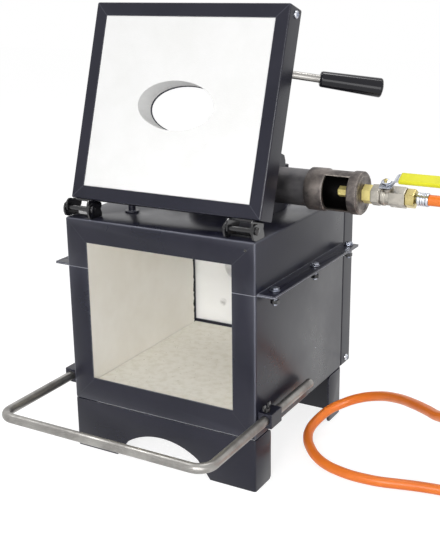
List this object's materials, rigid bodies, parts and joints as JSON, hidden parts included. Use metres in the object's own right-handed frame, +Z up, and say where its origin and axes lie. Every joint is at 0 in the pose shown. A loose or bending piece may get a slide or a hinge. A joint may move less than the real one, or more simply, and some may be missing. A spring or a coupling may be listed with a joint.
{
  "type": "gas forge",
  "caption": "Small lined gas forge with two swing-up doors, a side-entry gas burner with ball valve and hose, and a sliding work rest.",
  "frame": {"origin": "on the floor, under the middle of the box of the forge without its hose", "axes": "+Z up, -Y towards the front door and the work rest, +X along the burner towards the hose"},
  "size_m": [0.7916, 0.5532, 0.6148],
  "materials": {
    "black_powder_coat": "satin powder coat",
    "black_hardware": "semi-gloss black",
    "bare_steel_rod": "bare drawn bar",
    "wall_board": "matt refractory board",
    "floor_board": "matt refractory board with specks",
    "white_board": "matt refractory board",
    "mill_scale": "dark mill scale",
    "heated_steel": "bare casting with heat tint",
    "brass": "machined",
    "nickel": "nickel plate",
    "zinc": "bright zinc plate",
    "black_plastic": "gloss",
    "yellow_plastic": "satin vinyl",
    "orange_rubber": "smooth hose rubber"
  },
  "bodies": {
    "forge": {"lower_shell": "black_powder_coat", "upper_shell": "black_powder_coat", "front_leg": "black_powder_coat", "rear_leg": "black_powder_coat", "rest_sleeve_left": "black_powder_coat", "rest_sleeve_right": "black_powder_coat", "burner_bracket": "black_powder_coat", "front_door_stop": "black_powder_coat", "rear_door_stop": "black_powder_coat", "hearth_floor": "floor_board", "left_lining": "wall_board", "right_lining": "wall_board", "roof_lining": "wall_board", "shell_bolt_1": "zinc", "shell_bolt_2": "zinc", "shell_bolt_3": "zinc", "shell_bolt_4": "zinc", "shell_bolt_5": "zinc", "shell_bolt_6": "zinc", "front_hinge_bracket_left": "black_hardware", "front_hinge_pin_left": "black_hardware", "front_hinge_bracket_right": "black_hardware", "front_hinge_pin_right": "black_hardware", "rear_hinge_bracket_left": "black_hardware", "rear_hinge_pin_left": "black_hardware", "rear_hinge_bracket_right": "black_hardware", "rear_hinge_pin_right": "black_hardware", "burner_nozzle": "mill_scale", "burner_elbow": "mill_scale", "mixing_tube": "mill_scale", "intake_bell": "heated_steel", "intake_end_plate": "heated_steel", "gas_jet": "brass", "valve_body": "nickel", "hose_nipple": "brass", "hose_ferrule": "zinc", "gas_hose": "orange_rubber", "hose_coil": "orange_rubber", "hose_end_fitting": "brass"},
    "front_door": {"front_door_pan": "black_powder_coat", "front_door_lining": "white_board", "front_hinge_leaf_left": "black_hardware", "front_hinge_leaf_right": "black_hardware", "front_handle_rod": "bare_steel_rod", "front_handle_grip": "black_plastic", "front_door_screw": "zinc"},
    "rear_door": {"rear_door_pan": "black_powder_coat", "rear_door_lining": "white_board", "rear_hinge_leaf_left": "black_hardware", "rear_hinge_leaf_right": "black_hardware", "rear_handle_rod": "bare_steel_rod", "rear_handle_grip": "black_plastic", "rear_door_screw": "zinc"},
    "work_rest": {"work_rest": "bare_steel_rod"},
    "wing_screw": {"wing_screw": "black_hardware"},
    "valve_lever": {"lever_stem": "brass", "valve_lever": "zinc", "lever_sleeve": "yellow_plastic", "lever_nut": "zinc"}
  },
  "joints": [
    {"name": "front_door_hinge", "type": "hinge", "parent": "forge", "child": "front_door", "pos_m": [-0.05998, -0.12263, 0.3524], "axis": [1, 0, 0], "range_deg": [0, 197.8]},
    {"name": "rear_door_hinge", "type": "hinge", "parent": "forge", "child": "rear_door", "pos_m": [-0.05998, 0.14657, 0.3524], "axis": [1, 0, 0], "range_deg": [0, 197.8]},
    {"name": "work_rest_slide", "type": "slide", "parent": "forge", "child": "work_rest", "axis": [0, -1, 0], "range_m": [-0.095, 0.1]},
    {"name": "wing_screw_turn", "type": "hinge", "parent": "forge", "child": "wing_screw", "pos_m": [0.09532, -0.11623, 0.1134], "axis": [0, 0, 1], "range_deg": [0, 360]},
    {"name": "valve_lever_turn", "type": "hinge", "parent": "forge", "child": "valve_lever", "pos_m": [0.20102, 0.01197, 0.3805], "axis": [0, -0.5, 0.866], "range_deg": [-90, 0]}
  ]
}
